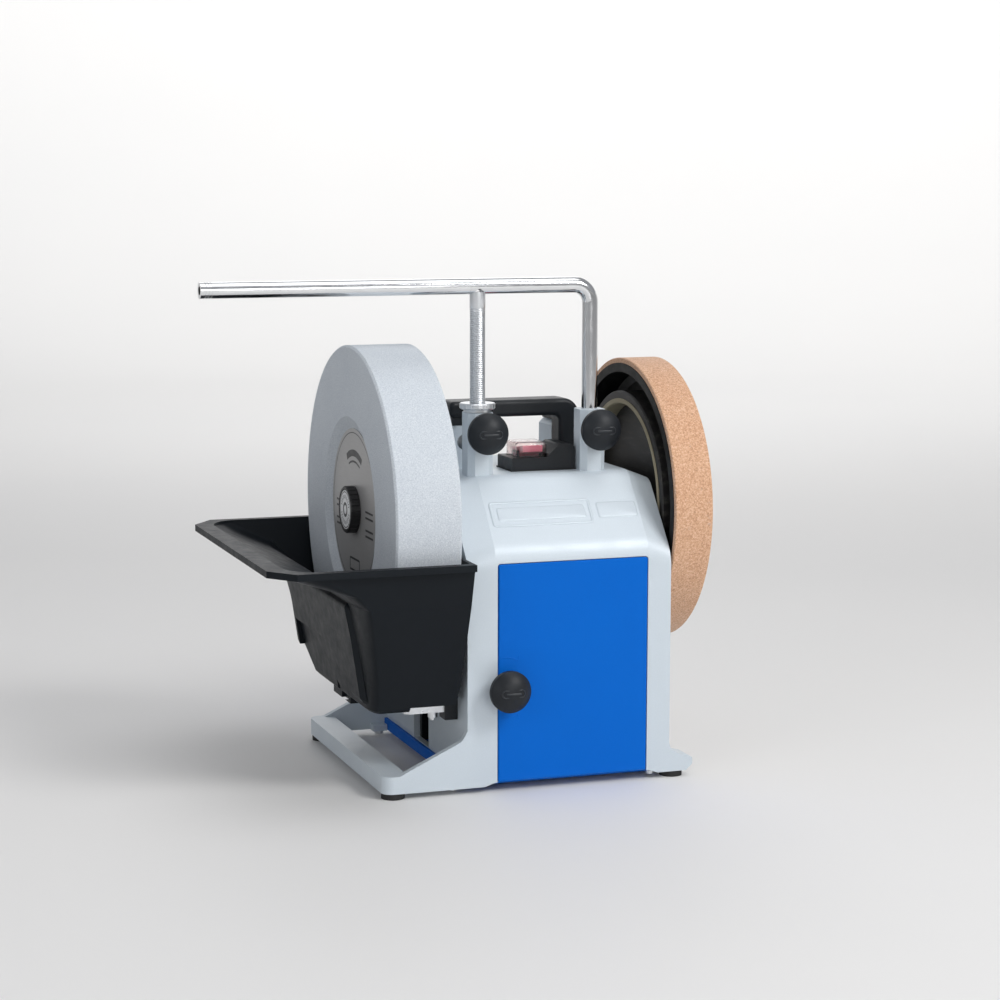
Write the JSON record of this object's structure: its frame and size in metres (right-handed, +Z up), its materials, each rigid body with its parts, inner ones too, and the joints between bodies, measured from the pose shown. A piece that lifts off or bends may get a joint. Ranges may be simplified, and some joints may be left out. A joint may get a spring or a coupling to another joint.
{
  "type": "wet grinding sharpener",
  "caption": "Water-cooled bench sharpener with a slow grinding stone, a leather honing wheel, a lifting water trough and a height-adjustable tool support bar over a cast housing.",
  "frame": {"origin": "middle of the overall width and depth, at the underside of the rubber feet", "axes": "+Z up; +X along the main shaft from the grinding stone to the honing wheel; the operator and the support bar are on the -Y side"},
  "size_m": [0.3906, 0.28, 0.3783],
  "materials": {
    "silver_paint": "satin silver-grey enamel",
    "blue_paint": "satin blue enamel",
    "stainless": "polished stainless",
    "zinc": "bright zinc plate",
    "steel": "machined",
    "cast_black": "fine grained black",
    "trough_black": "semi-gloss black",
    "soft_black": "soft-touch black",
    "foot_rubber": "matt",
    "stone_grey": "fine aluminium oxide grain",
    "label_grey": "printed",
    "nut_black": "semi-gloss black",
    "print_white": "printed disc",
    "lining_rubber": "worn rubber",
    "leather_tan": "natural tan leather",
    "brass_bush": "plain",
    "motor_grey": "painted laminations",
    "pink_plastic": "gloss",
    "clear_boot": "clear flexible vinyl",
    "capacitor_white": "gloss"
  },
  "bodies": {
    "base": {"housing": "silver_paint", "housing_front": "silver_paint", "housing_rear": "silver_paint", "housing_ends": "silver_paint", "base_frame": "silver_paint", "leg_sleeves": "silver_paint", "front_door": "blue_paint", "rear_panel": "blue_paint", "rear_panel_screws": "zinc", "power_inlet": "cast_black", "bottom_pan": "blue_paint", "rubber_feet": "foot_rubber", "pan_screws": "zinc", "handle": "cast_black", "handle_screws": "zinc", "switch_housing": "cast_black", "switch_gasket": "foot_rubber", "rocker_cradle": "cast_black", "rocker_boot": "clear_boot", "shaft_bushes": "brass_bush", "motor_pivot_pin": "steel", "capacitor": "capacitor_white", "capacitor_clip": "zinc", "carriage_guides": "cast_black", "lift_bearing": "zinc"},
    "spindle": {"main_shaft": "stainless", "grinding_stone": "stone_grey", "label_disc": "label_grey", "stone_flange": "steel", "drive_wheel": "cast_black", "drive_lining": "lining_rubber", "honing_wheel": "cast_black", "honing_leather": "leather_tan", "honing_nut": "cast_black"},
    "clamp_nut": {"stone_nut": "nut_black", "stone_nut_disc": "print_white"},
    "motor_unit": {"motor": "motor_grey", "motor_bracket": "steel"},
    "rotor": {"motor_rotor": "steel", "motor_fan": "cast_black"},
    "support": {"support_bar": "stainless", "threaded_leg": "stainless"},
    "adjust_nut": {"micro_nut": "zinc"},
    "left_knob": {"lock_knob_left": "soft_black", "lock_screw_left": "zinc"},
    "right_knob": {"lock_knob_right": "soft_black", "lock_screw_right": "zinc"},
    "lifter": {"trough": "trough_black", "lift_carriage": "cast_black", "lift_crossbar": "zinc", "trough_arms": "zinc", "arm_blocks": "cast_black", "arm_screws": "zinc"},
    "lift_dial": {"lift_shaft": "steel", "lift_knob": "soft_black"},
    "switch_rocker": {"rocker": "pink_plastic"}
  },
  "joints": [
    {"name": "spindle_spin", "type": "hinge", "parent": "base", "child": "spindle", "pos_m": [-0.07125, 0, 0.2015], "axis": [1, 0, 0], "continuous": true},
    {"name": "clamp_nut_turn", "type": "hinge", "parent": "spindle", "child": "clamp_nut", "pos_m": [-0.07125, 0, 0.2015], "axis": [1, 0, 0], "range_deg": [0, 720]},
    {"name": "motor_swing", "type": "hinge", "parent": "base", "child": "motor_unit", "pos_m": [0.10875, 0.074, 0.1325], "axis": [1, 0, 0], "range_deg": [-1.2, 0]},
    {"name": "rotor_spin", "type": "hinge", "parent": "motor_unit", "child": "rotor", "pos_m": [0.10875, 0, 0.1325], "axis": [1, 0, 0], "continuous": true},
    {"name": "support_height", "type": "slide", "parent": "base", "child": "support", "axis": [0, 0, 1], "range_m": [-0.03, 0.04]},
    {"name": "adjust_nut_turn", "type": "hinge", "parent": "base", "child": "adjust_nut", "pos_m": [0.01565, -0.048, 0.281], "axis": [0, 0, 1], "range_deg": [-9600, 7200]},
    {"name": "left_knob_turn", "type": "hinge", "parent": "base", "child": "left_knob", "pos_m": [0.01565, -0.07, 0.264], "axis": [0, 1, 0], "range_deg": [-540, 0]},
    {"name": "right_knob_turn", "type": "hinge", "parent": "base", "child": "right_knob", "pos_m": [0.10565, -0.07, 0.264], "axis": [0, 1, 0], "range_deg": [-540, 0]},
    {"name": "trough_lift", "type": "slide", "parent": "base", "child": "lifter", "axis": [0, 0, 1], "range_m": [-0.026, 0]},
    {"name": "lift_dial_turn", "type": "hinge", "parent": "base", "child": "lift_dial", "pos_m": [0.01675, -0.11, 0.0785], "axis": [0, 1, 0], "range_deg": [-190, 4]},
    {"name": "switch_rock", "type": "hinge", "parent": "base", "child": "switch_rocker", "pos_m": [0.06225, -0.03, 0.243], "axis": [1, 0, 0], "range_deg": [0, 12]}
  ],
  "couplings": [
    {"joint": "rotor_spin", "follows": "spindle_spin", "ratio": 15.579},
    {"joint": "adjust_nut_turn", "follows": "support_height", "rad_per_m": -4188.8},
    {"joint": "lift_dial_turn", "follows": "trough_lift", "rad_per_m": 125}
  ]
}
